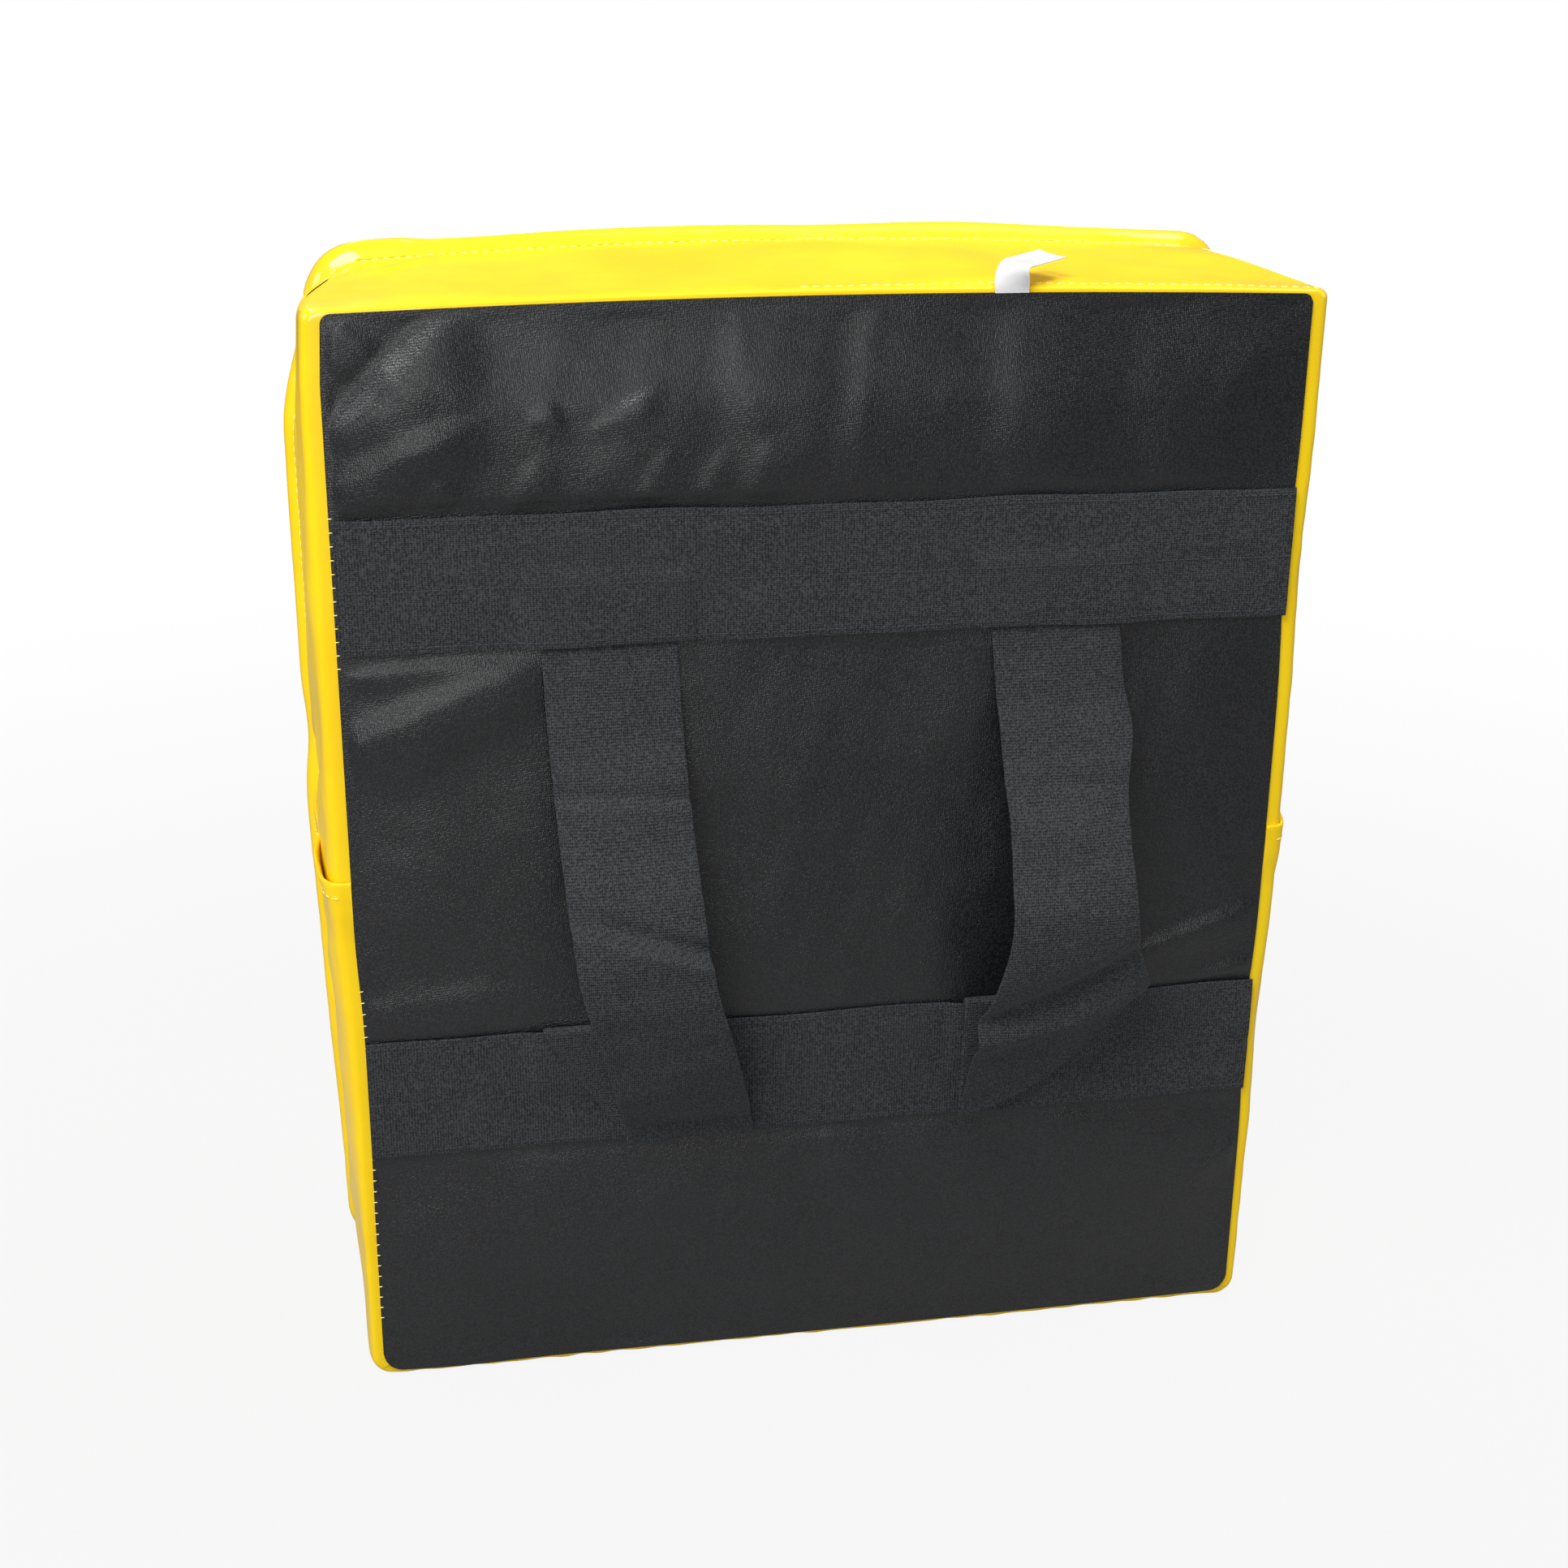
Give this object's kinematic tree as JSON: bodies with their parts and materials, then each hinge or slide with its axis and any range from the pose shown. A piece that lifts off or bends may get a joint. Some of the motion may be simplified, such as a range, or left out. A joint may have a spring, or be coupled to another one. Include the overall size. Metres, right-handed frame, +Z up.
{
  "type": "tackle shield",
  "caption": "Foam tackle shield in a sewn yellow cover, with a crowned strike face and two webbing handles on its black back.",
  "frame": {"origin": "middle of the bounding box, on the surface the shield stands on", "axes": "+Z up, towards the top gusset; -Y out of the back with the handles; +Y out of the strike face; +X to the right as the back is seen"},
  "size_m": [0.5514, 0.241, 0.6229],
  "materials": {
    "yellow_vinyl": "glossy coated cloth",
    "black_vinyl": "embossed coated cloth",
    "black_webbing": "ribbed woven webbing",
    "firm_foam": "closed-cell foam",
    "soft_foam": "open-cell foam",
    "white_tape": "satin woven tape",
    "zip_tape": "woven zip tape",
    "zip_teeth": "moulded",
    "zip_metal": "plated"
  },
  "bodies": {
    "shield": {"foam_back_board": "firm_foam", "foam_core": "firm_foam", "foam_face_pad": "soft_foam", "front_panel": "yellow_vinyl", "top_gusset": "yellow_vinyl", "left_upper_gusset": "yellow_vinyl", "left_lower_gusset": "yellow_vinyl", "right_upper_gusset": "yellow_vinyl", "right_lower_gusset": "yellow_vinyl", "bottom_rear_gusset": "yellow_vinyl", "bottom_front_gusset": "yellow_vinyl", "back_panel": "black_vinyl", "upper_band": "black_webbing", "lower_band": "black_webbing", "left_handle_top_end": "black_webbing", "left_handle_bottom_end": "black_webbing", "right_handle_top_end": "black_webbing", "right_handle_bottom_end": "black_webbing", "zip_tape_rear": "zip_tape", "zip_tape_front": "zip_tape", "zip_chain": "zip_teeth", "zip_stop_left": "zip_metal", "zip_stop_right": "zip_metal"},
    "left_upper": {"left_grip_upper": "black_webbing"},
    "left_lower": {"left_grip_lower": "black_webbing"},
    "left_return": {"left_handle_return": "black_webbing"},
    "right_upper": {"right_grip_upper": "black_webbing"},
    "right_lower": {"right_grip_lower": "black_webbing"},
    "right_return": {"right_handle_return": "black_webbing"},
    "label_tape": {"label": "white_tape"},
    "slider": {"zip_slider": "zip_metal"},
    "pull": {"zip_pull": "zip_metal"}
  },
  "joints": [
    {"name": "left_handle_swing", "type": "hinge", "parent": "shield", "child": "left_upper", "pos_m": [-0.1145, -0.0667, 0.4305], "axis": [-1, 0, 0], "range_deg": [0, 30]},
    {"name": "left_handle_knuckle", "type": "hinge", "parent": "left_upper", "child": "left_lower", "pos_m": [-0.10358, -0.1187, 0.2649], "axis": [-1, 0, 0], "range_deg": [-33.9, 0]},
    {"name": "left_handle_return_turn", "type": "hinge", "parent": "shield", "child": "left_return", "pos_m": [-0.1195, -0.0718, 0.213], "axis": [-1, 0, 0], "range_deg": [0, 75.4], "deforming": ["left_handle_return"]},
    {"name": "right_handle_swing", "type": "hinge", "parent": "shield", "child": "right_upper", "pos_m": [0.122, -0.0667, 0.4305], "axis": [-1, 0, 0], "range_deg": [0, 18]},
    {"name": "right_handle_knuckle", "type": "hinge", "parent": "right_upper", "child": "right_lower", "pos_m": [0.12675, -0.1187, 0.2856], "axis": [-1, 0, 0], "range_deg": [-22.8, 0]},
    {"name": "right_handle_return_turn", "type": "hinge", "parent": "shield", "child": "right_return", "pos_m": [0.115, -0.0718, 0.213], "axis": [-1, 0, 0], "range_deg": [0, 79.3], "deforming": ["right_handle_return"]},
    {"name": "label_flap", "type": "hinge", "parent": "shield", "child": "label_tape", "pos_m": [0.0902, -0.066, 0.60465], "axis": [1, 0, 0], "range_deg": [-15, 75], "stiffness_Nm_per_rad": 0.0005},
    {"name": "zip_travel", "type": "slide", "parent": "shield", "child": "slider", "axis": [-1, 0, 0], "range_m": [0, 0.3474], "deforming": ["zip_chain"]},
    {"name": "pull_turn", "type": "hinge", "parent": "slider", "child": "pull", "pos_m": [0.1737, 0.0095, 0.0028], "axis": [0, -1, 0], "range_deg": [0, 120]}
  ],
  "couplings": [
    {"joint": "left_handle_knuckle", "follows": "left_handle_swing", "ratio": -1.114},
    {"joint": "left_handle_return_turn", "follows": "left_handle_swing", "ratio": 2.497},
    {"joint": "right_handle_knuckle", "follows": "right_handle_swing", "ratio": -1.239},
    {"joint": "right_handle_return_turn", "follows": "right_handle_swing", "ratio": 4.378}
  ]
}
